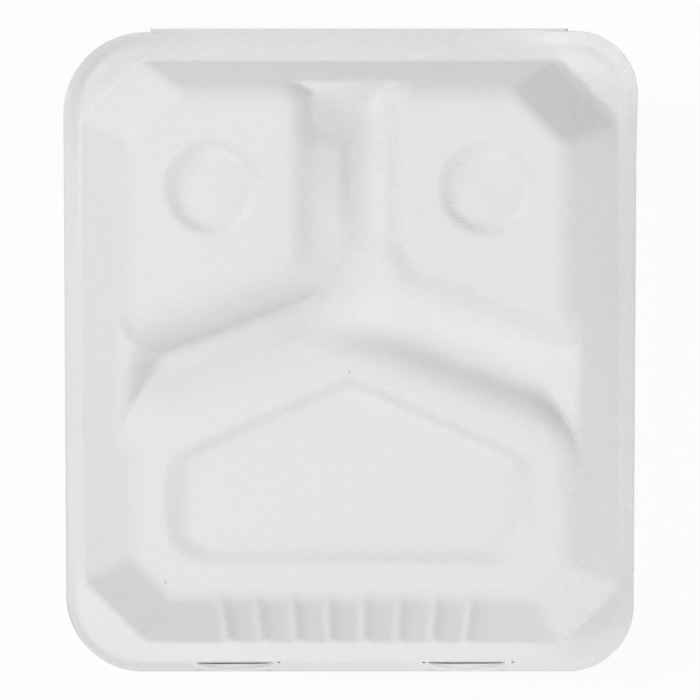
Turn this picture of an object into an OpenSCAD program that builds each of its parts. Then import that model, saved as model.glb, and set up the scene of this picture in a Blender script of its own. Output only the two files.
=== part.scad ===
// A three-compartment food box of moulded sugar-cane pulp with a hinged lid.
// It is closed and lies upside down on its lid, so the feet of the base face +Z.
// X runs from side to side, the hinge is at +Y and the locking front edge at -Y.
// The origin is on the surface that the lid lies on, below the middle of the box.

/* [Overall] */
// Depth of the box from the hinge to the front edge
box_d = 229; // [210:1:250]
// Width of the flanges at the hinge
back_w = 204.6; // [190:0.2:220]
// Width of the flanges at the front edge
front_w = 202; // [188:0.2:218]
// Height of the base, from the fold plane to its feet
base_h = 38; // [32:1:46]
// Height of the lid, from the surface it lies on to the fold plane
lid_h = 38; // [32:1:46]
// Thickness of the pressed pulp
wall = 0.8; // [0.6:0.1:1]

/* [Flanges] */
// Corner radius at the back left
corner_bl = 29.5; // [22:0.5:32]
// Corner radius at the back right
corner_br = 23; // [22:0.5:32]
// Corner radius at the front right
corner_fr = 23.5; // [22:0.5:32]
// Corner radius at the front left
corner_fl = 27; // [22:0.5:32]
// Flange width along the hinge
back_flange = 11.5; // [9:0.5:14]
// Flange width along the front edge
front_flange = 9.5; // [9:0.5:12]
// Flange width along the sides, at the hinge end
side_flange = 6.8; // [5.5:0.1:9]
// Width of the lip that turns up around both flanges
lip_w = 2.6; // [2:0.1:3]
// Rise of the lip
lip_rise = 1; // [0.5:0.1:1.5]
// Gap between the two closed flanges
seam_gap = 0.3; // [0.2:0.05:0.5]
// Width of the creased groove beside the hinge
crease_w = 3; // [2:0.5:4]
// Depth of the creased groove
crease_deep = 0.3; // [0.1:0.05:0.4]

/* [Walls] */
// Slope of the side walls above the level
side_slope = 58; // [54:1:66]
// Slope of the back and front walls
end_slope = 62; // [56:1:68]
// Rounding between the walls and the feet of the base
foot_r = 10; // [7:0.5:12]
// Width across each slanted corner wall at the flange, along the wall
corner_wall = 29; // [22:1:36]
// Rounding between the walls and the panel of the lid
panel_r = 9; // [6:0.5:12]
// Rounding of the upright edges of both tubs at the flange
tub_r = 10; // [5:0.5:12]

/* [Compartments] */
// Height of the dividers above the floor of the compartments
divider_h = 15; // [12:0.5:18]
// Slope of the divider walls
divider_slope = 65; // [58:1:70]
// Rounding between a divider and the floor
divider_foot_r = 7; // [5:0.5:8]
// Rounding in the hollow under a divider
divider_top_r = 12; // [8:0.5:13]
// Place of the meeting point of the dividers, towards the hinge
fork_y = 17; // [10:1:24]
// Angle at which the two slanted dividers fall away to the front
fork_angle = 20.5; // [16:0.5:24]
// Plan rounding of the compartment corners at the floor
corner_r = 8; // [5:0.5:11]
// Rise of the divider hollow at its outer ends
saddle_rise = 3; // [1:0.5:5]
// Length of that rise along the hollow
saddle_len = 14; // [10:1:18]

/* [Stiffening shapes] */
// Outer radius of the round panels in the small compartments
disc_r = 15.4; // [12:0.1:17]
// Distance of the round panels from the middle of the box
disc_x = 45.6; // [42:0.2:47]
// Place of the round panels towards the hinge
disc_y = 54; // [50:0.5:57]
// Half width of the large panel at the feet
panel_x = 60.6; // [52:0.2:62]
// Front edge of the large panel
panel_front = 70.5; // [64:0.5:72]
// Point of the large panel, in front of the middle
panel_tip = 8.8; // [7:0.2:16]
// Angle of the two slanted edges of the large panel
panel_angle = 24; // [20:1:26]
// Corner rounding of the large panel
panel_corner_r = 10; // [6:0.5:14]
// Width of the sloping step around each panel
step_w = 3.6; // [2.5:0.1:4.5]
// Depth of the step
step_deep = 1.8; // [1:0.1:2.4]
// Number of ribs in the front wall
rib_count = 8; // [2:1:9]
// Distance between the ribs
rib_pitch = 12; // [9:0.5:13]
// Radius of the ribs
rib_r = 3.2; // [2.4:0.1:4]
// Height by which the ribs stand out of the wall
rib_out = 1.3; // [0.8:0.1:1.8]

/* [Lock] */
// Distance of each locking slot from the middle of the box
slot_x = 41; // [30:1:50]
// Length of the slots
slot_len = 28; // [20:1:34]
// Width of the slots
slot_w = 2.6; // [2.2:0.1:3]
// Edge left between a slot and the front of the flange
slot_edge = 1; // [0.8:0.1:1.4]
// Clearance around each tab in its slot
tab_gap = 0.4; // [0.3:0.05:0.5]
// Height of the tabs above the flange of the base
tab_up = 1; // [0.3:0.1:1.4]

/* [Hidden] */

// Heights
fold_z = lid_h;
top_z = lid_h + base_h;
base_flange_z = fold_z + seam_gap / 2;
lid_flange_z = fold_z - seam_gap / 2 - wall;
base_drop = top_z - base_flange_z;
lid_drop = lid_flange_z + wall;

// The fold is a bead around the hinge axis
bead_r = wall + seam_gap / 2;
bead_gap = 0.2;
hinge_y = box_d / 2 - bead_r;
hinge_z = fold_z + lip_rise;

// Edges of the tubs at the flange
rim_x = back_w / 2 - side_flange;
rim_back = box_d / 2 - back_flange;
rim_front = box_d / 2 - front_flange;
rim_corner = (rim_x + (rim_back + rim_front) / 2) / sqrt(2) - corner_wall / 2;

// Depth in the flange of the lid at which the tabs start
tab_root = 0.7 * wall;
// Length by which the crease and the fold stop short at each end
end_stop = 2;

// A slab thin enough to count as a slice of a lofted form
slice_t = 0.01;
// Thinning of the inner form for each unit of wall, on a slope
inset_share = 0.6;
// Depth by which a form reaches below the face that it joins
reach = 1;
// Segments of a full circle in the plan roundings
plan_fn = 40;

// Horizontal run from the flat of a foot out to its wall, at a drop below the flat
function wall_run(drop, slope, r) =
    drop <= r * (1 - cos(slope))
        ? r * sin(acos(1 - drop / r))
        : r * sin(slope) + (drop - r * (1 - cos(slope))) / tan(slope);

// Half width of the hollow under a divider, and its run at a drop below the feet
round_drop = (divider_foot_r + divider_top_r) * (1 - cos(divider_slope));
hollow_half = (divider_foot_r + divider_top_r) * sin(divider_slope)
    + (divider_h - round_drop) / tan(divider_slope);
function hollow_run(drop) =
    drop < divider_h - divider_top_r * (1 - cos(divider_slope))
        ? wall_run(drop, divider_slope, divider_foot_r)
        : hollow_half - divider_top_r * sin(acos(max(0, min(1,
            1 - (divider_h - drop) / divider_top_r))));

// A plan outline is a list of sides, each the angle of its normal and its distance
function meet(a, b) =
    let (det = cos(a[0]) * sin(b[0]) - sin(a[0]) * cos(b[0]))
    [(a[1] * sin(b[0]) - b[1] * sin(a[0])) / det,
     (b[1] * cos(a[0]) - a[1] * cos(b[0])) / det];
function outline(sides) =
    [for (i = [0:len(sides) - 1]) meet(sides[i], sides[(i + 1) % len(sides)])];
module rounded(sides, r) {
    offset(r = r, $fn = plan_fn) offset(delta = -r) polygon(outline(sides));
}

// The outer sides of a tub at a drop from its flat, drawn in by an inset
function side_at(drop, r, full, inset) =
    rim_x - wall_run(full, side_slope, r) + wall_run(drop, side_slope, r) - inset;
function back_at(drop, r, full, inset) =
    rim_back - wall_run(full, end_slope, r) + wall_run(drop, end_slope, r) - inset;
function front_at(drop, r, full, inset) =
    rim_front - wall_run(full, end_slope, r) + wall_run(drop, end_slope, r) - inset;
function slant_at(drop, r, full, inset, shift) =
    rim_corner - wall_run(full, side_slope, r) + wall_run(drop, side_slope, r)
    - inset + shift / sqrt(2);
corner_shift = (rim_back - rim_front) / 2;
function tub_sides(drop, r, full, inset) = [
    [0, side_at(drop, r, full, inset)],
    [45, slant_at(drop, r, full, inset, corner_shift)],
    [90, back_at(drop, r, full, inset)],
    [135, slant_at(drop, r, full, inset, corner_shift)],
    [180, side_at(drop, r, full, inset)],
    [225, slant_at(drop, r, full, inset, -corner_shift)],
    [270, front_at(drop, r, full, inset)],
    [315, slant_at(drop, r, full, inset, -corner_shift)]];

// Distance of the slanted divider's middle line from the origin, along its normal
fork_c = fork_y * cos(fork_angle);

// The two small compartments and the large one, at a drop below the feet
function small_sides(drop, inset) = [
    [0, side_at(drop, foot_r, base_drop, inset)],
    [45, slant_at(drop, foot_r, base_drop, inset, corner_shift)],
    [90, back_at(drop, foot_r, base_drop, inset)],
    [180, -hollow_half + hollow_run(drop) - inset],
    [270 - fork_angle, -fork_c - hollow_half + hollow_run(drop) - inset]];
function large_sides(drop, inset) = [
    [90 - fork_angle, fork_c - hollow_half + hollow_run(drop) - inset],
    [90 + fork_angle, fork_c - hollow_half + hollow_run(drop) - inset],
    [180, side_at(drop, foot_r, base_drop, inset)],
    [225, slant_at(drop, foot_r, base_drop, inset, -corner_shift)],
    [270, front_at(drop, foot_r, base_drop, inset)],
    [315, slant_at(drop, foot_r, base_drop, inset, -corner_shift)],
    [0, side_at(drop, foot_r, base_drop, inset)]];

// Levels at which the compartments are drawn, as shares of the divider height
LEVELS = [0, 0.03, 0.11, 0.24, 0.42, 0.68, 0.84, 0.94, 0.985];

// One lofted compartment between two neighbouring levels
module compartment_layer(d0, d1, inset, large) {
    hull() {
        translate([0, 0, top_z - d0 - slice_t]) linear_extrude(slice_t)
            compartment_outline(d0, inset, large);
        translate([0, 0, top_z - d1 - slice_t]) linear_extrude(slice_t)
            compartment_outline(d1, inset, large);
    }
}
function plan_r(drop) = corner_r + hollow_run(drop) / 2;
module compartment_outline(drop, inset, large) {
    rounded(large ? large_sides(drop, inset) : small_sides(drop, inset), plan_r(drop));
}
module compartment(inset, large) {
    drops = [for (s = LEVELS) s * divider_h];
    for (i = [0:len(drops) - 2]) compartment_layer(drops[i], drops[i + 1], inset, large);
    compartment_layer(drops[len(drops) - 1], divider_h + reach, inset, large);
}

// The rise at the outer end of each hollow: two at the sides and one at the hinge.
// Its crest is a short flat of this length.
saddle_crest = 3;
module saddles(inset) {
    crest = divider_h - saddle_rise;
    foot = divider_h + reach;
    side_x = side_at(crest, foot_r, base_drop, inset);
    back_y = back_at(crest, foot_r, base_drop, inset);
    low_x = side_at(foot, foot_r, base_drop, inset);
    low_y = back_at(foot, foot_r, base_drop, inset);
    end_y = fork_y - side_x * tan(fork_angle);
    for (m = [0, 1]) mirror([m, 0, 0]) hull() {
        translate([side_x - saddle_crest, end_y - hollow_half / 2, top_z - crest - slice_t])
            cube([saddle_crest, hollow_half, slice_t]);
        translate([side_x - saddle_len, end_y - hollow_half, top_z - foot])
            cube([saddle_len + low_x - side_x, 2 * hollow_half, slice_t]);
    }
    hull() {
        translate([-hollow_half / 2, back_y - saddle_crest, top_z - crest - slice_t])
            cube([hollow_half, saddle_crest, slice_t]);
        translate([-hollow_half, back_y - saddle_len, top_z - foot])
            cube([2 * hollow_half, saddle_len + low_y - back_y, slice_t]);
    }
}

// A round panel and the large panel, widening from their flat up to the feet
module disc_step(sink) {
    for (m = [-1, 1]) translate([m * disc_x, disc_y, top_z - step_deep - sink])
        cylinder(r1 = disc_r - step_w, r2 = disc_r + step_w, h = 2 * step_deep, $fn = 48);
}
function panel_sides(grow) = [
    [90 - panel_angle, -panel_tip * cos(panel_angle) + grow],
    [90 + panel_angle, -panel_tip * cos(panel_angle) + grow],
    [180, panel_x + grow],
    [270, panel_front + grow],
    [0, panel_x + grow]];
module panel_step(sink) {
    translate([0, 0, top_z - step_deep - sink]) hull() {
        linear_extrude(slice_t) rounded(panel_sides(-step_w), panel_corner_r - step_w);
        translate([0, 0, 2 * step_deep]) linear_extrude(slice_t)
            rounded(panel_sides(step_w), panel_corner_r + step_w);
    }
}

// The upright ribs in the front wall, thickened or thinned by grow
module ribs(grow) {
    high = divider_foot_r;
    low = base_drop - 2 * rib_r;
    for (i = [0:rib_count - 1]) hull() for (drop = [high, low])
        translate([(i - (rib_count - 1) / 2) * rib_pitch,
            -front_at(drop, foot_r, base_drop, 0) + (rib_r - rib_out) / sin(end_slope),
            top_z - drop])
            sphere(r = rib_r + grow, $fn = 12);
}

// The outline of both flanges, drawn in by an inset
module flange_outline(inset) {
    hull() {
        for (c = [[-1, 1, corner_bl, back_w], [1, 1, corner_br, back_w],
                  [1, -1, corner_fr, front_w], [-1, -1, corner_fl, front_w]])
            translate([c[0] * (c[3] / 2 - c[2]), c[1] * (box_d / 2 - c[2])])
                circle(r = c[2] - inset, $fn = 64);
    }
}

// A bowl-shaped block with a rising rim, from which the lip of a flange is made
module lip_block(z, top) {
    hull() {
        translate([0, 0, z]) linear_extrude(slice_t) flange_outline(lip_w);
        translate([0, 0, z + lip_rise]) linear_extrude(top) flange_outline(0);
    }
}
module flange(z) {
    difference() {
        lip_block(z, wall);
        translate([0, 0, wall]) lip_block(z, 2 * wall);
    }
}

// The two slots in the front flange: straight behind, curved in front
module slot_outline() {
    front_y = -(box_d / 2 - slot_edge);
    half = slot_len / 2;
    bow_r = (half * half + slot_w * slot_w) / (2 * slot_w);
    intersection() {
        translate([0, front_y + bow_r]) circle(r = bow_r, $fn = 200);
        translate([-half, front_y]) square([2 * half, slot_w]);
    }
}
module slots(gap, z, h) {
    for (m = [-1, 1]) translate([m * slot_x, 0, z]) linear_extrude(h)
        offset(delta = -gap) slot_outline();
}

// Outer and inner form of the base, both seen as solids that stand on the flange
module base_form(inset, sink) {
    translate([0, 0, -sink]) {
        for (large = [true, false]) {
            compartment(inset, large);
            if (!large) mirror([1, 0, 0]) compartment(inset, large);
        }
        saddles(inset);
        hull() {
            translate([0, 0, top_z - divider_h - slice_t]) linear_extrude(slice_t)
                rounded(tub_sides(divider_h, foot_r, base_drop, inset), plan_r(divider_h));
            translate([0, 0, base_flange_z]) linear_extrude(slice_t)
                rounded(tub_sides(base_drop, foot_r, base_drop, inset), tub_r);
        }
    }
}

module base_tray() {
    color([0.86, 0.86, 0.855]) difference() {
        union() {
            difference() {
                union() {
                    base_form(0, 0);
                    ribs(0);
                }
                disc_step(0);
                panel_step(0);
            }
            flange(base_flange_z);
        }
        difference() {
            union() {
                base_form(inset_share * wall, wall);
                ribs(-wall);
                translate([0, 0, base_flange_z - reach]) linear_extrude(reach)
                    rounded(tub_sides(base_drop, foot_r, base_drop, inset_share * wall),
                        tub_r);
            }
            disc_step(wall);
            panel_step(wall);
        }
        slots(0, base_flange_z - reach, lip_rise + wall + 2 * reach);
        translate([0, hinge_y, hinge_z]) rotate([0, 90, 0])
            cylinder(r = bead_r + bead_gap, h = 2 * back_w, center = true, $fn = 24);
        translate([-back_w, hinge_y, hinge_z - back_flange / 2])
            cube([2 * back_w, back_flange, back_flange]);
        translate([-rim_x + end_stop, box_d / 2 - (back_flange + crease_w) / 2,
            base_flange_z + wall - crease_deep])
            cube([2 * (rim_x - end_stop), crease_w, 2 * crease_deep]);
    }
}

// Outer and inner form of the lid, turned over: its flat is at the bottom.
// The outer form ends inside the flange and the inner form passes through it.
panel_drops = [for (a = [0, 0.25, 0.5, 0.75, 1]) panel_r * (1 - cos(a * side_slope))];
module lid_form(inset, sink) {
    drops = concat(panel_drops, [lid_drop - wall / 2]);
    translate([0, 0, sink]) for (i = [0:len(drops) - 2]) hull() {
        for (d = [drops[i], drops[i + 1]]) translate([0, 0, d]) linear_extrude(slice_t)
            rounded(tub_sides(d, panel_r, lid_drop, inset), tub_r);
    }
}

module lid() {
    color([0.84, 0.84, 0.83]) {
        difference() {
            union() {
                lid_form(0, 0);
                flange(lid_flange_z);
            }
            lid_form(inset_share * wall, wall);
        }
        slots(tab_gap, lid_flange_z + tab_root, wall - tab_root + seam_gap + wall + tab_up);
        translate([(corner_bl - corner_br) / 2, hinge_y, hinge_z]) rotate([0, 90, 0])
            cylinder(r = bead_r, h = back_w - corner_bl - corner_br - 2 * end_stop,
                center = true, $fn = 24);
    }
}

base_tray();
lid();
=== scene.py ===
"""A food box of moulded sugar-cane pulp, closed and lying upside down on its lid."""
import math

import bpy
import numpy as np
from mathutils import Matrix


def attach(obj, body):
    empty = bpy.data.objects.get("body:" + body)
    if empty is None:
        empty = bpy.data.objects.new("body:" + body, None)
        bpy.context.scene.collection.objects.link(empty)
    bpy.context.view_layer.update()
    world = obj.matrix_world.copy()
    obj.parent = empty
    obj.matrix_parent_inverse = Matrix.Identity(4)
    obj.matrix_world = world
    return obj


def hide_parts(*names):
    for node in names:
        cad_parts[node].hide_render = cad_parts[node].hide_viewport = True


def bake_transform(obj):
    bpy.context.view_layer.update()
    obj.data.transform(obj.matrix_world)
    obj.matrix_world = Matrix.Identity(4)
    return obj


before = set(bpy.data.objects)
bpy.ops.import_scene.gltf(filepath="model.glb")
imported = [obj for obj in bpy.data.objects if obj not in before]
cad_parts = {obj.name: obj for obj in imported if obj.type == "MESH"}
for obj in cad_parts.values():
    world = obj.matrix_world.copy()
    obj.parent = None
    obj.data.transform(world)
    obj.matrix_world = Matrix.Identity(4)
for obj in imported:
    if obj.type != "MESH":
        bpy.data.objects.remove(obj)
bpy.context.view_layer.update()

# The photographer's place
# The camera looks straight down on the feet of the base from a little over half a metre, so the
# slanting walls show all round and the feet look slightly larger than the flange behind them.
eye = bpy.data.objects.new("camera", bpy.data.cameras.new("camera"))
bpy.context.scene.collection.objects.link(eye)
CAMERA_HEIGHT = 0.578
eye.location = (0.0, 0.0, CAMERA_HEIGHT)
eye.data.sensor_width = 36.0
eye.data.lens = 77.8
eye.data.clip_start = 0.01
eye.data.clip_end = 20.0
bpy.context.scene.camera = eye

# The base tray
# One sheet of pulp, sucked onto a wire-mesh mould and pressed: three compartments that stand on
# ring-shaped feet, hollow dividers between them, a grooved front wall, and a flange all round.
# All lengths in this section are in millimetres until the mesh is made.
FEET = 76.0
BASE_FLANGE = 38.95
PULP = 0.8
RIM_SIDE, RIM_BACK, RIM_FRONT, RIM_CORNER = 95.5, 103.0, 105.0, 126.57
SHEET_BACK, SHEET_FRONT = 113.3, 114.5
HALF_BACK, HALF_FRONT = 102.3, 101.0
CORNER_SHIFT = 0.707
DIVIDER_DEEP = 15.0
HALF_HOLLOW = 19.1
FORK_Y = 17.0
FORK_ANGLE = 20.5


def bearing(deg):
    """The unit vector in the plan at an angle from +X."""
    return math.cos(math.radians(deg)), math.sin(math.radians(deg))


def wall_profile(stations, slopes):
    """Drop along a wall: the slope is drawn between stations and summed from the flat outwards."""
    run = np.linspace(-6.0, 80.0, 1721)
    tilt = np.interp(run, stations, np.tan(np.radians(slopes)))
    tilt[run < stations[0]] = 0
    drop = np.concatenate([[0.0], np.cumsum((tilt[1:] + tilt[:-1]) / 2 * np.diff(run))])
    return run, drop


def bent_wall(slope, radius, last=None, bend=None):
    """An arc that starts level and runs into a straight slope, which may ease at a bend near the rim."""
    turn = np.linspace(0, slope, 9)
    runs = radius * np.sin(np.radians(turn))
    if last is not None:
        runs, turn = np.append(runs, [bend, bend + 1.2]), np.append(turn, [slope, last])
    return wall_profile(runs, turn)


def wall_reach(profile, drop):
    """How far out a wall has come at a drop."""
    return float(np.interp(drop, profile[1], profile[0]))


def wall_drop(x, y, deg, start, profile):
    """Drop of one wall that faces a bearing and leaves its flat at a distance from the middle."""
    c, s = bearing(deg)
    return np.interp(x * c + y * s - start, profile[0], profile[1])


def beyond(x, y, deg, start):
    """Distance past a straight edge that faces a bearing."""
    c, s = bearing(deg)
    return x * c + y * s - start


def deeper(a, b, blend):
    """The larger of two drops, rounded where they are alike, and sharp where both are small."""
    k = np.maximum(np.minimum(blend, 0.5 * (a + b)), 1e-6)
    return np.maximum(a, b) + np.maximum(k - np.abs(a - b), 0) ** 2 / (4 * k)


def higher(a, b, k):
    """The larger of two numbers, rounded where they are alike."""
    return np.maximum(a, b) + np.maximum(k - np.abs(a - b), 0) ** 2 / (4 * k)


def lower(a, b, k):
    """The smaller of two numbers, rounded where they are alike."""
    return np.minimum(a, b) - np.maximum(k - np.abs(a - b), 0) ** 2 / (4 * k)


def ease(t):
    """0 to 1 with soft ends."""
    t = np.clip(t, 0, 1)
    return t * t * (3 - 2 * t)


def swell(t):
    """1 at the middle, falling softly to 0 at -1 and 1."""
    return ease(1 - np.abs(t))


base_side = bent_wall(58.0, 10.5)
base_back = bent_wall(65.5, 10.0)
base_front = bent_wall(58.5, 10.0)
base_slant = bent_wall(55.0, 7.0, 45.0, 26.2)
base_soft = bent_wall(56.0, 12.0)


def tub_drop(x, y, full, side, rear, front, slant, soft):
    """Drop of the eight outer walls of a tub whose rim lies at a full drop below its flat."""
    out_side = wall_reach(side, full)
    drop = deeper(wall_drop(x, y, 0, RIM_SIDE - out_side, side),
                  wall_drop(x, y, 180, RIM_SIDE - out_side, side), 4.0)
    drop = deeper(drop, wall_drop(x, y, 90, RIM_BACK - wall_reach(rear, full), rear), 4.0)
    drop = deeper(drop, wall_drop(x, y, 270, RIM_FRONT - wall_reach(front, full), front), 4.0)
    for deg, shift, wall in ((45, -CORNER_SHIFT, slant), (135, -CORNER_SHIFT, soft),
                             (225, CORNER_SHIFT, slant), (315, CORNER_SHIFT, soft)):
        drop = deeper(drop, wall_drop(x, y, deg, RIM_CORNER + shift - wall_reach(wall, full), wall), 3.0)
    return drop


def corner_drop(p, q, inner, wall, r, start):
    """Drop of a corner of a radius between an inner wall and an outer one, given the distances past
    their edges: the profile turns from one to the other round the corner."""
    a, b = np.maximum(p + r, 0), np.maximum(q + r, 0)
    turn = ease((np.arctan2(a, b + 1e-9) / (math.pi / 2) - start) / (1 - start))
    far = np.hypot(a, b) - r
    drop = np.interp(far, *inner) * turn + np.interp(far, *wall) * (1 - turn)
    return np.where((p > -r) & (q > -r), drop, 0)


LEFT_MID = wall_profile([-4.5, -1, 1.5, 4.5, 7, 8.5, 15, 15.8, 21.5, 40],
                        [0, 8, 35, 52, 45, 24, 19, 48, 50, 50])
LEFT_SLANT = wall_profile([-5, -1, 3, 6, 9, 12, 13.2, 40], [0, 14, 30, 44, 50, 54, 56, 56])
RIGHT_MID = wall_profile([-1, 0, 2, 4, 6.5, 8.5, 12, 15, 40], [0, 6, 26, 52, 54, 42, 38, 36, 45])
RIGHT_SLANT = wall_profile([-2.5, 0, 2, 4, 7, 10, 14.5, 17, 20, 40],
                           [0, 14, 35, 46, 45, 36, 28, 15, 8, 8])
FRONT_LEFT = wall_profile([-1, 0, 3, 6, 10, 15, 20, 40], [0, 6, 26, 38, 42, 42, 40, 45])
FRONT_RIGHT = wall_profile([-5, -2, 0, 3, 6, 9, 12, 16, 20, 24, 40],
                           [0, 6, 12, 28, 46, 54, 46, 32, 18, 8, 6])
FORK = FORK_Y * math.cos(math.radians(FORK_ANGLE))


def two_walls(p, q, wall_p, wall_q, r):
    """Drop of two inner walls that meet in a corner of a radius, given the distances past their edges."""
    a, b = np.maximum(p + r, 0), np.maximum(q + r, 0)
    far = np.minimum(np.maximum(p, q), -r) + np.hypot(a, b)
    t = ease(np.arctan2(b, a + 1e-9) / (math.pi / 2))
    t = np.where((p < -r) & (q < -r), ease(0.5 + (q - p) / 12), t)
    return (1 - t) * np.interp(far, *wall_p) + t * np.interp(far, *wall_q)


def base_drop(x, y):
    """Drop of the outer face of the base below its feet, without the panels and the flange: for each
    compartment the deeper of its inner walls and the tub, and over all of them the shallowest."""
    full = FEET - BASE_FLANGE
    tub = tub_drop(x, y, full, base_side, base_back, base_front, base_slant, base_soft)
    back = beyond(x, y, 90, RIM_BACK - wall_reach(base_back, full))
    left = beyond(x, y, 180, RIM_SIDE - wall_reach(base_side, full))
    right = beyond(x, y, 0, RIM_SIDE - wall_reach(base_side, full))
    arm = FORK + HALF_HOLLOW
    point = FORK - HALF_HOLLOW
    left_mid = beyond(x, y, 0, -HALF_HOLLOW)
    left_slant = beyond(x, y, 270 + FORK_ANGLE, -arm)
    right_mid = beyond(x, y, 180, -HALF_HOLLOW)
    right_slant = beyond(x, y, 270 - FORK_ANGLE, -arm)
    front_left = beyond(x, y, 90 + FORK_ANGLE, point)
    front_right = beyond(x, y, 90 - FORK_ANGLE, point)
    floor = hollow_floor(x, y, left_slant)
    drop = deeper(floor, tub, 1.5)
    for p, q, wall_p, wall_q, r, ends, side, soft, turn in (
            (left_mid, left_slant, LEFT_MID, LEFT_SLANT, 2.0, back, left, 0.5, 5.0),
            (right_mid, right_slant, RIGHT_MID, RIGHT_SLANT, 6.0, back, right, 5.0, 2.5),
            (front_left, front_right, FRONT_LEFT, FRONT_RIGHT, 2.0, None, None, 4.0, 0.0)):
        inner = two_walls(p, q, wall_p, wall_q, r)
        if side is left:
            inner = inner + 5.5 * ease((back + 14) / 13) * ease(p / 7)
        part = deeper(inner, tub, 2.0)
        if ends is None:
            part = np.maximum(part, corner_drop(p, left, wall_p, base_side, 3.0, 0.4))
            part = np.maximum(part, corner_drop(q, right, wall_q, base_side, 8.0, 0.4))
        else:
            part = np.maximum(part, corner_drop(p, ends, wall_p, base_back, turn, 0.5))
            part = np.maximum(part, corner_drop(q, side, wall_q, base_side, 3.6, 0.4))
        drop = lower(drop, part, soft * ease((inner + 4 - tub) / 8) + 0.02)
    return drop


def hollow_floor(x, y, left_slant):
    """Drop of the floor of the hollows: a tilted strip beside the left compartment, a saddle at each
    outer end and a long pocket in the middle one."""
    slant = DIVIDER_DEEP - 5.0 * ease((np.abs(x) - 64.5) / 11.0)
    slant = slant - 0.9 * ease((17.5 - left_slant) / 4.0) * ease((-x + 8) / 16)
    pocket = 12.0 + 4.8 * ease((y - 24.0) / 21.0) * ease((82.0 - y) / 16.0) + 2.6 * ease((31 - y) / 13)
    share = ease((y - 16.0) / 12.0)
    return slant * (1 - share) + pocket * share


def panel_drop(x, y):
    """Drop of the two round panels and of the large one, each inside a sloping step."""
    drop = 0.0
    for disc in (-45.6, 45.6):
        drop = drop + 3.4 * ease((16.8 - np.hypot(x - disc, y - 54.0)) / 5.0)
    c, s = bearing(66.0)
    edge = higher(higher(np.abs(x) - 60.6, -y - 70.5, 15.0), (y + 8.8) * s + np.abs(x) * c, 6.0)
    return drop + 4.0 * ease((1.2 - edge) / 5.2)


def groove_drop(x, y):
    """Depth of the eight upright grooves in the front wall: each falls quickly on its left and comes
    back slowly on its right, and fades out at both ends."""
    down = -y - 76.0
    near = x + 45.5 - 12.0 * np.clip(np.floor((x + 45.5) / 12.0), 0, 7)
    deep = ease(near / 2.4) - 0.72 * ease((near - 2.7) / 4.0) - 0.28 * ease((near - 5.0) / 7.0)
    return 2.1 * ease((down - 3.0) / 9) * ease((30.5 - down) / 5) * deep


def edge_distance(x, y, back, front):
    """Distance from the outline of a flange, negative inside it. The sides draw in a little towards
    the front and each corner has its own radius."""
    r = np.where(x < 0, np.where(y > 0, 29.5, 27.0), np.where(y > 0, 23.0, 23.5))
    a = np.abs(x) - (HALF_BACK - (HALF_BACK - HALF_FRONT) * (SHEET_FRONT - y) / (2 * SHEET_FRONT))
    b = np.where(y > 0, y - back, -y - front)
    corner = np.hypot(np.maximum(a + r, 0), np.maximum(b + r, 0))
    return np.minimum(np.maximum(a, b), -r) + corner


def base_flange(x, y):
    """Height of the flange: an edge that falls away at the near left corner, a crease beside the
    hinge that drifts to the edge on the right, and a far right corner that is bent up."""
    inside = -edge_distance(x, y, SHEET_BACK + 1.0, SHEET_FRONT)
    round_the_box = np.degrees(np.arctan2(y / 114.5, x / 102.0)) % 360
    lip = np.interp(round_the_box,
                    [0, 25, 45, 70, 90, 120, 140, 165, 180, 200, 280, 300, 320, 345, 360],
                    [0.0, 0.3, 0.9, 1.0, 1.0, 0.9, 0.4, 0.2, 0.1, 0.0, 0.0, 0.2, 0.2, 0.1, 0.0])
    crease = np.interp(round_the_box, [0, 22, 35, 48, 135, 150, 165, 195, 360],
                       [0, 0, 0.6, 0.7, 0.6, 0.4, 0.15, 0, 0])
    place = np.interp(round_the_box, [0, 25, 38, 50, 90, 360], [0.8, 1.2, 3.6, 5.6, 5.9, 5.9])
    rise = lip * ease((np.minimum(place, 4.9) - inside) / 4.6)
    fall = np.interp(round_the_box, [195, 215, 238, 252, 300, 320, 335], [0, 2.6, 3.0, 2.3, 1.7, 0.6, 0])
    rise = rise + fall * ease(inside / 4.5)
    rise = rise - crease * swell((inside - place) / 3.0)
    c, s = bearing(45.0)
    bent = np.maximum(x * c + y * s - RIM_CORNER, 0) * 0.16
    bent = bent * ease((x - 45) / 40) * ease((y - 55) / 30)
    return BASE_FLANGE + rise + bent


def base_height(x, y):
    """Height of the outer face of the base over the plan."""
    return higher(FEET - base_drop(x, y) - panel_drop(x, y) - groove_drop(x, y), base_flange(x, y), 1.2)


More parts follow.
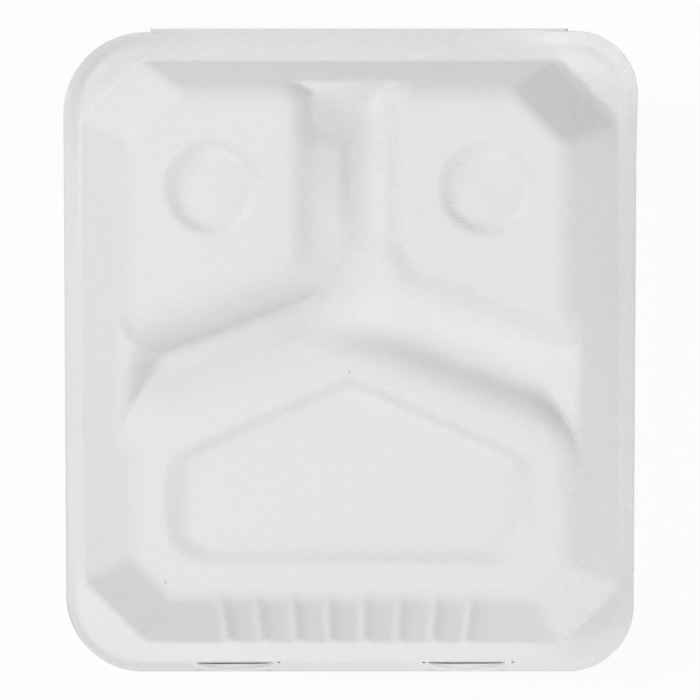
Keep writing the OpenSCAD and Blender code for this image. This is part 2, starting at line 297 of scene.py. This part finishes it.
def plan_grid(across, along, back, front):
    """Plan points on a grid of two parameters: a four-sided figure of the middles of the corner arcs,
    whose sides bulge out to the outline of the flange by an amount that fades across the figure."""
    u, v = np.meshgrid(across, along)
    k = 1 - math.sqrt(0.5)
    front_l, front_r, back_l, back_r = 27.0, 23.5, 29.5, 23.0
    xl, xr = -HALF_FRONT + k * front_l, HALF_FRONT - k * front_r
    xbl, xbr = -HALF_BACK + k * back_l, HALF_BACK - k * back_r
    yfl, yfr = -front + k * front_l, -front + k * front_r
    ybl, ybr = back - k * back_l, back - k * back_r
    x = (1 - v) * ((1 - u) * xl + u * xr) + v * ((1 - u) * xbl + u * xbr)
    y = (1 - v) * ((1 - u) * yfl + u * yfr) + v * ((1 - u) * ybl + u * ybr)

    def bulge(t, lo_r, hi_r, half_lo, half_hi, share):
        """Gap between the outline and the straight side, at a place t along that side."""
        line = (1 - share) * k * lo_r + share * k * hi_r
        arc_lo = lo_r - np.sqrt(np.maximum(lo_r ** 2 - np.maximum(lo_r - (t + half_lo), 0) ** 2, 0))
        arc_hi = hi_r - np.sqrt(np.maximum(hi_r ** 2 - np.maximum(hi_r - (half_hi - t), 0) ** 2, 0))
        return line - arc_lo - arc_hi

    down = bulge((1 - u) * xl + u * xr, front_l, front_r, HALF_FRONT, HALF_FRONT, u)
    up = bulge((1 - u) * xbl + u * xbr, back_l, back_r, HALF_BACK, HALF_BACK, u)
    left = bulge((1 - v) * yfl + v * ybl, front_l, back_l, front, back, v)
    right = bulge((1 - v) * yfr + v * ybr, front_r, back_r, front, back, v)
    return x - (1 - u) * left + u * right, y - (1 - v) * down + v * up


def sheet_mesh(name, x, y, z, hole=None):
    """A mesh of one face for each cell of the grid, apart from those in a hole; mm become metres."""
    rows, cols = x.shape
    co = np.stack([x, y, z], axis=-1).reshape(-1, 3) * 0.001
    i = np.arange(rows * cols).reshape(rows, cols)
    quads = np.stack([i[:-1, :-1], i[:-1, 1:], i[1:, 1:], i[1:, :-1]], axis=-1)
    quads = quads.reshape(-1, 4) if hole is None else quads[~hole]
    used, quads = np.unique(quads, return_inverse=True)
    quads = quads.reshape(-1, 4)
    mesh = bpy.data.meshes.new(name)
    mesh.vertices.add(len(used))
    mesh.vertices.foreach_set("co", co[used].ravel())
    mesh.loops.add(quads.size)
    mesh.loops.foreach_set("vertex_index", quads.ravel())
    mesh.polygons.add(len(quads))
    mesh.polygons.foreach_set("loop_start", np.arange(len(quads)) * 4)
    mesh.polygons.foreach_set("use_smooth", np.ones(len(quads), dtype=bool))
    mesh.update(calc_edges=True)
    mesh.validate()
    piece = bpy.data.objects.new(name, mesh)
    bpy.context.scene.collection.objects.link(piece)
    return piece


def thicken(piece, depth):
    """Gives a sheet its wall, inwards from the faces as they are."""
    mod = piece.modifiers.new("wall", "SOLIDIFY")
    mod.thickness = depth * 0.001
    mod.offset = -1.0
    mod.use_rim = True


# The slots for the tabs lie between rows r0 and r1 of the grid, and their ends on its columns. Near
# them the columns run straight, and three cells are left out as nicks beside the slots.
SLOT_X, SLOT_HALF, SLOT_BACK, SLOT_FRONT = 41.1, 13.6, -110.95, -113.6
rows_y = np.concatenate([[-114.5, -114.1, -113.8, -113.5, -112.9, -112.2, -111.5, -110.9, -110.3, -109.6],
                         np.linspace(-108.9, 112.0, 222), [112.6, 113.0, 113.3]])
along = (rows_y + SHEET_FRONT) / (SHEET_BACK + SHEET_FRONT)
across = np.linspace(0, 1, 196)
plan_x, plan_y = plan_grid(across, along, SHEET_BACK, SHEET_FRONT)
ROOM_FOR_LIP = 0.9985
plan_x, plan_y = plan_x * ROOM_FOR_LIP, plan_y * ROOM_FOR_LIP
r0, r1 = 3, 7
near = ease((SLOT_HALF + 11 - np.abs(np.abs(plan_x[r1]) - SLOT_X)) / 9)
plan_x[:r1 + 2] = plan_x[:r1 + 2] * (1 - near) + plan_x[r1] * near
hole = np.zeros((len(along) - 1, len(across) - 1), dtype=bool)
for slot in (-SLOT_X, SLOT_X):
    c0 = int(np.argmin(np.abs(plan_x[r1] - (slot - SLOT_HALF))))
    c1 = int(np.argmin(np.abs(plan_x[r1] - (slot + SLOT_HALF))))
    plan_x[r0 - 2:r1 + 2, c0] = slot - SLOT_HALF
    plan_x[r0 - 2:r1 + 2, c1] = slot + SLOT_HALF
    t = (plan_x[r1, c0:c1 + 1] - slot) / SLOT_HALF
    bow = SLOT_BACK - 0.25 + (SLOT_FRONT - SLOT_BACK + 0.25) * (1 - np.abs(t) ** 2.6)
    share = np.linspace(0, 1, r1 - r0 + 1)[:, None]
    plan_y[r0:r1 + 1, c0:c1 + 1] = (1 - share) * bow + share * SLOT_BACK
    plan_y[1, c0:c1 + 1] = (bow + SHEET_FRONT) * 0.36 - SHEET_FRONT
    plan_y[2, c0:c1 + 1] = (bow + SHEET_FRONT) * 0.7 - SHEET_FRONT
    hole[r0:r1, c0:c1] = True
for nick in (-26.0, 25.6, 56.8):
    hole[r1 - 1, int(np.argmin(np.abs(plan_x[r1] - nick)))] = True
base = sheet_mesh("pressed_base", plan_x, plan_y, base_height(plan_x, plan_y), hole)
thicken(base, PULP)


class Wire:
    """An output socket of a shader tree, with arithmetic on values."""

    def __init__(self, tree, socket):
        self.tree, self.socket = tree, socket

    def math(self, operation, *others):
        node = self.tree.nodes.new("ShaderNodeMath")
        node.operation = operation
        for slot, value in zip(node.inputs, (self,) + others):
            plug(self.tree, slot, value)
        return Wire(self.tree, node.outputs[0])

    def __add__(self, other):
        return self.math("ADD", other)

    def __radd__(self, other):
        return self.math("ADD", other)

    def __sub__(self, other):
        return self.math("SUBTRACT", other)

    def __rsub__(self, other):
        return (self * -1.0) + other

    def __mul__(self, other):
        return self.math("MULTIPLY", other)

    def __rmul__(self, other):
        return self.math("MULTIPLY", other)

    def __pow__(self, other):
        return self.math("POWER", other)


def plug(tree, slot, value):
    """Links a wire to a socket, or sets a plain value on it."""
    if isinstance(value, Wire):
        tree.links.new(value.socket, slot)
    else:
        slot.default_value = value


class Finish:
    """A material's node tree."""

    def __init__(self, name):
        self.material = bpy.data.materials.new(name)
        self.material.use_nodes = True
        self.tree = self.material.node_tree
        self.shader = self.tree.nodes["Principled BSDF"]

    def node(self, kind, settings=None, out=0, **values):
        """Adds a node: its settings first, then the values or wires of its inputs by name."""
        node = self.tree.nodes.new(kind)
        for key, value in (settings or {}).items():
            setattr(node, key, value)
        for key, value in values.items():
            plug(self.tree, node.inputs[key.replace("_", " ")], value)
        return Wire(self.tree, node.outputs[out])


pulp = Finish("bleached_pulp")
place = pulp.node("ShaderNodeTexCoord", out=3)
parts = pulp.node("ShaderNodeSeparateXYZ", Vector=place).socket.node.outputs
px, py, pz = (Wire(pulp.tree, socket) for socket in parts)


def ramp(value, low, high):
    """0 below one value and 1 above another, with soft ends."""
    return pulp.node("ShaderNodeMapRange", dict(interpolation_type="SMOOTHSTEP"), Value=value,
                     From_Min=low, From_Max=high)


def spot(x, y, radius):
    """1 at a place in the plan, falling to 0 at a radius."""
    far = ((px - x) ** 2.0 + (py - y) ** 2.0) ** 0.5
    return ramp(far * -1.0, -radius, -0.3 * radius)


warp = pulp.node("ShaderNodeTexNoise", Vector=place, Scale=210.0, Detail=2.0)
patch = ramp(pulp.node("ShaderNodeTexNoise", Vector=place, Scale=24.0, Detail=2.0), 0.35, 0.62)
rows = (py * 4900.0 + (px * 2450.0 + warp * 3.0).math("SINE") * 1.3 + warp * 4.0).math("SINE")
chevron = ((py + (px + warp * 0.002).math("PINGPONG", 0.0036) * 0.75) * 4700.0 + warp * 3.0).math("SINE")
right = ramp(px, 0.066, 0.076)
plain = ramp(px * 0.6 + py, -0.09, 0.02)
weave = rows * (1.0 - right) * plain + chevron * right * 1.2
stretched = pulp.node("ShaderNodeVectorMath", dict(operation="MULTIPLY"), Vector=place)
stretched.socket.node.inputs[1].default_value = (2300.0, 520.0, 900.0)
strand = pulp.node("ShaderNodeTexNoise", Vector=stretched, Scale=1.0, Detail=3.0, Roughness=0.6)
fibre = pulp.node("ShaderNodeTexNoise", Vector=place, Scale=1300.0, Detail=4.0, Roughness=0.62)
edge = ramp(py, 0.098, 0.104)
hollow = ramp(pz, 0.056, 0.059) * ramp(pz * -1.0, -0.067, -0.064)
relief = weave * (patch * 0.75 + 0.25) + fibre * 1.5 + strand * (edge * 3.2 + hollow * 2.6 + 0.4)
relief = relief + spot(-0.0156, 0.0183, 0.0013) * 5.0
bump = pulp.node("ShaderNodeBump", Height=relief, Strength=1.0, Distance=0.000045)
plug(pulp.tree, pulp.shader.inputs["Normal"], bump)
mottle = pulp.node("ShaderNodeTexNoise", Vector=place, Scale=420.0, Detail=5.0, Roughness=0.65)


def between(share, first, second):
    """A colour that goes from the first to the second as the share goes from 0 to 1."""
    mix = pulp.node("ShaderNodeMix", dict(data_type="RGBA"), out=2)
    for number, value in ((0, share), (6, first), (7, second)):
        plug(pulp.tree, mix.socket.node.inputs[number], value)
    return mix


tint = between(mottle, (0.70, 0.70, 0.695, 1), (0.76, 0.76, 0.755, 1))
specks = spot(-0.0002, -0.0074, 0.00045) + spot(-0.0612, -0.0772, 0.0005)
plug(pulp.tree, pulp.shader.inputs["Base Color"], between(specks, tint, (0.45, 0.44, 0.42, 1)))
pulp.shader.inputs["Roughness"].default_value = 0.85
pulp.shader.inputs["Specular IOR Level"].default_value = 0.25
base.data.materials.append(pulp.material)
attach(base, "base")
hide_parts("base_tray")

# The lid
# The same pulp, pressed into a plain tub with slanted corners. The box lies on its flat panel, so
# only its flange shows from above, as a thin line round that of the base.
LID_FLANGE = 37.05
PANEL_R = 9.0
lid_side = bent_wall(58.0, PANEL_R)
lid_end = bent_wall(62.0, PANEL_R)


def lid_height(x, y):
    """Height of the outer face of the lid over the plan, which looks down."""
    rise = tub_drop(x, y, LID_FLANGE, lid_side, lid_end, lid_end, lid_side, lid_side)
    flange = LID_FLANGE + 1.0 * ease((edge_distance(x, y, SHEET_BACK, SHEET_FRONT) + 4.0) / 3.0)
    return lower(rise, flange, 2.0)


rows_y = np.concatenate([[-114.5, -113.9, -113.2, -112.3, -111.6, -110.9], np.linspace(-110, 110, 170),
                         [111.2, 112.2, 112.9, 113.3]])
along = (rows_y + SHEET_FRONT) / (SHEET_BACK + SHEET_FRONT)
plan_x, plan_y = plan_grid(np.linspace(1, 0, 150), along, SHEET_BACK, SHEET_FRONT)
lid = sheet_mesh("pressed_lid", plan_x, plan_y, lid_height(plan_x, plan_y))
thicken(lid, PULP)
lid.data.materials.append(pulp.material)
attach(lid, "lid")
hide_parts("lid")

# The locking tabs
# Two tongues of the lid's front flange that snap up through the slots of the base and show there
# as lens shapes with a ragged front edge.
t = np.linspace(-1, 1, 81)
for number, middle in enumerate((-SLOT_X, SLOT_X)):
    half = SLOT_HALF - 0.25
    ragged = 0.09 * np.sin(31 * t + number) + 0.07 * np.sin(57 * t + 2 * number)
    back = SLOT_BACK - 0.08 - 0.46 * (1 - t ** 6)
    front = SLOT_BACK - 0.2 + (SLOT_FRONT + 0.08 - SLOT_BACK) * (1 - np.abs(t) ** 2.6)
    front = np.minimum(front + ragged * (1 - t ** 6), back - 0.02)
    loop_x = np.concatenate([middle + half * t, middle + half * t[::-1][1:-1]])
    loop_y = np.concatenate([back, front[::-1][1:-1]])
    levels = np.array([37.5, 38.8, 39.5, 39.95, 40.1])
    inset = np.array([0, 0, 0.06, 0.2, 0.5])
    cx, cy = middle, SLOT_BACK - 1.5
    inward = np.sign(cx - loop_x) * np.minimum(np.abs(cx - loop_x), 1)
    tx = loop_x[None] + inset[:, None] * inward[None]
    ty = loop_y[None] + inset[:, None] * (cy - loop_y)[None] * 0.6
    tz = levels[:, None] + np.array([0, 0.5, 1, 1, 1])[:, None] * (base_flange(tx, ty) - 39.75)
    rows, cols = tx.shape
    co = np.stack([tx, ty, tz], -1).reshape(-1, 3) * 0.001
    top_z = (0.45 + base_flange(np.array(cx), np.array(cy))) * 0.001
    co = np.concatenate([co, [[cx * 0.001, cy * 0.001, top_z], [cx * 0.001, cy * 0.001, 0.0375]]])
    i = np.arange(rows * cols).reshape(rows, cols)
    j = np.roll(i, -1, axis=1)
    sides = np.stack([j[:-1], i[:-1], i[1:], j[1:]], -1).reshape(-1, 4).tolist()
    top = np.stack([j[-1], i[-1], np.full(cols, rows * cols)], -1).tolist()
    foot = np.stack([i[0], j[0], np.full(cols, rows * cols + 1)], -1).tolist()
    mesh = bpy.data.meshes.new("lock_tab")
    mesh.from_pydata(co.tolist(), [], sides + top + foot)
    mesh.polygons.foreach_set("use_smooth", np.ones(len(mesh.polygons), dtype=bool))
    tab = bpy.data.objects.new("lock_tab_" + ("left", "right")[number], mesh)
    bpy.context.scene.collection.objects.link(tab)
    tab.data.materials.append(pulp.material)
    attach(tab, "lid")

# The fold
# The sheet of pulp runs on from one flange to the other round a crease, the hinge of the box.
turn = np.linspace(-125, 125, 25)
fold_u, fold_a = np.meshgrid(np.linspace(77.5, -71.0, 100), np.radians(turn))
hinge_y, hinge_z = 113.55, 39.0
fold_y = hinge_y + 0.95 * np.cos(fold_a)
fold_z = hinge_z + 0.95 * np.sin(fold_a)
fold = sheet_mesh("fold_strip", fold_u, fold_y, fold_z)
thicken(fold, 0.4)
fold.data.materials.append(pulp.material)
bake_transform(fold)

# The studio
# A plain white table, an even sky and a few large soft lamps: the strongest one hangs beside the
# camera, and weaker ones stand all round.
floor_mesh = bpy.data.meshes.new("table")
floor_mesh.from_pydata([(-3, -3, 0), (3, -3, 0), (3, 3, 0), (-3, 3, 0)], [], [(0, 1, 2, 3)])
floor = bpy.data.objects.new("table", floor_mesh)
bpy.context.scene.collection.objects.link(floor)
white = Finish("table_white")
white.shader.inputs["Base Color"].default_value = (0.82, 0.82, 0.82, 1)
white.shader.inputs["Roughness"].default_value = 0.9


def white_when_seen(tree, plain, bright, strength, end):
    """Mixes a bright shader over a plain one for the rays of the camera, gloss and transmission."""
    rays = tree.nodes.new("ShaderNodeLightPath").outputs
    seen = Wire(tree, rays["Is Camera Ray"]).math("MAXIMUM", Wire(tree, rays["Is Glossy Ray"]))
    seen = seen.math("MAXIMUM", Wire(tree, rays["Is Transmission Ray"]))
    mix = tree.nodes.new("ShaderNodeMixShader")
    plug(tree, mix.inputs[0], seen * strength)
    plug(tree, mix.inputs[1], Wire(tree, plain.outputs[0]))
    plug(tree, mix.inputs[2], Wire(tree, bright.outputs[0]))
    plug(tree, end.inputs["Surface"], Wire(tree, mix.outputs[0]))


glow = white.node("ShaderNodeEmission", Color=(1, 1, 1, 1), Strength=1.0)
white_when_seen(white.tree, white.shader, glow.socket.node, 0.88, white.tree.nodes["Material Output"])
floor.data.materials.append(white.material)

sky = bpy.data.worlds.new("sky")
sky.use_nodes = True
dim = sky.node_tree.nodes["Background"]
bright = sky.node_tree.nodes.new("ShaderNodeBackground")
for background, strength in ((dim, 0.15), (bright, 1.0)):
    background.inputs["Color"].default_value = (1, 1, 1, 1)
    background.inputs["Strength"].default_value = strength
white_when_seen(sky.node_tree, dim, bright, 1.0, sky.node_tree.nodes["World Output"])
bpy.context.scene.world = sky

LAMP_FAR, LAMP_SIZE = 1.5, 0.7


def lamp(name, azimuth, elevation, watts):
    """A round soft lamp that looks at the box from a bearing and a height."""
    light = bpy.data.lights.new(name, "AREA")
    light.shape = "DISK"
    light.size = LAMP_SIZE
    light.energy = watts
    holder = bpy.data.objects.new(name, light)
    bpy.context.scene.collection.objects.link(holder)
    a, e = math.radians(azimuth), math.radians(elevation)
    holder.location = (LAMP_FAR * math.cos(e) * math.cos(a), LAMP_FAR * math.cos(e) * math.sin(a),
                       0.05 + LAMP_FAR * math.sin(e))
    holder.rotation_euler = (math.pi / 2 - e, 0, a + math.pi / 2)


lamp("top_lamp", 0, 88, 10.3)
lamp("left_lamp", 170, 28, 7.3)
lamp("left_high_lamp", 150, 48, 3.6)
lamp("right_lamp", 330, 28, 3.8)
lamp("front_lamp", 300, 30, 2.2)
lamp("low_lamp", 315, 12, 4.8)
lamp("back_lamp", 90, 14, 3.7)
bpy.context.scene.view_settings.view_transform = "Standard"

bpy.context.view_layer.update()
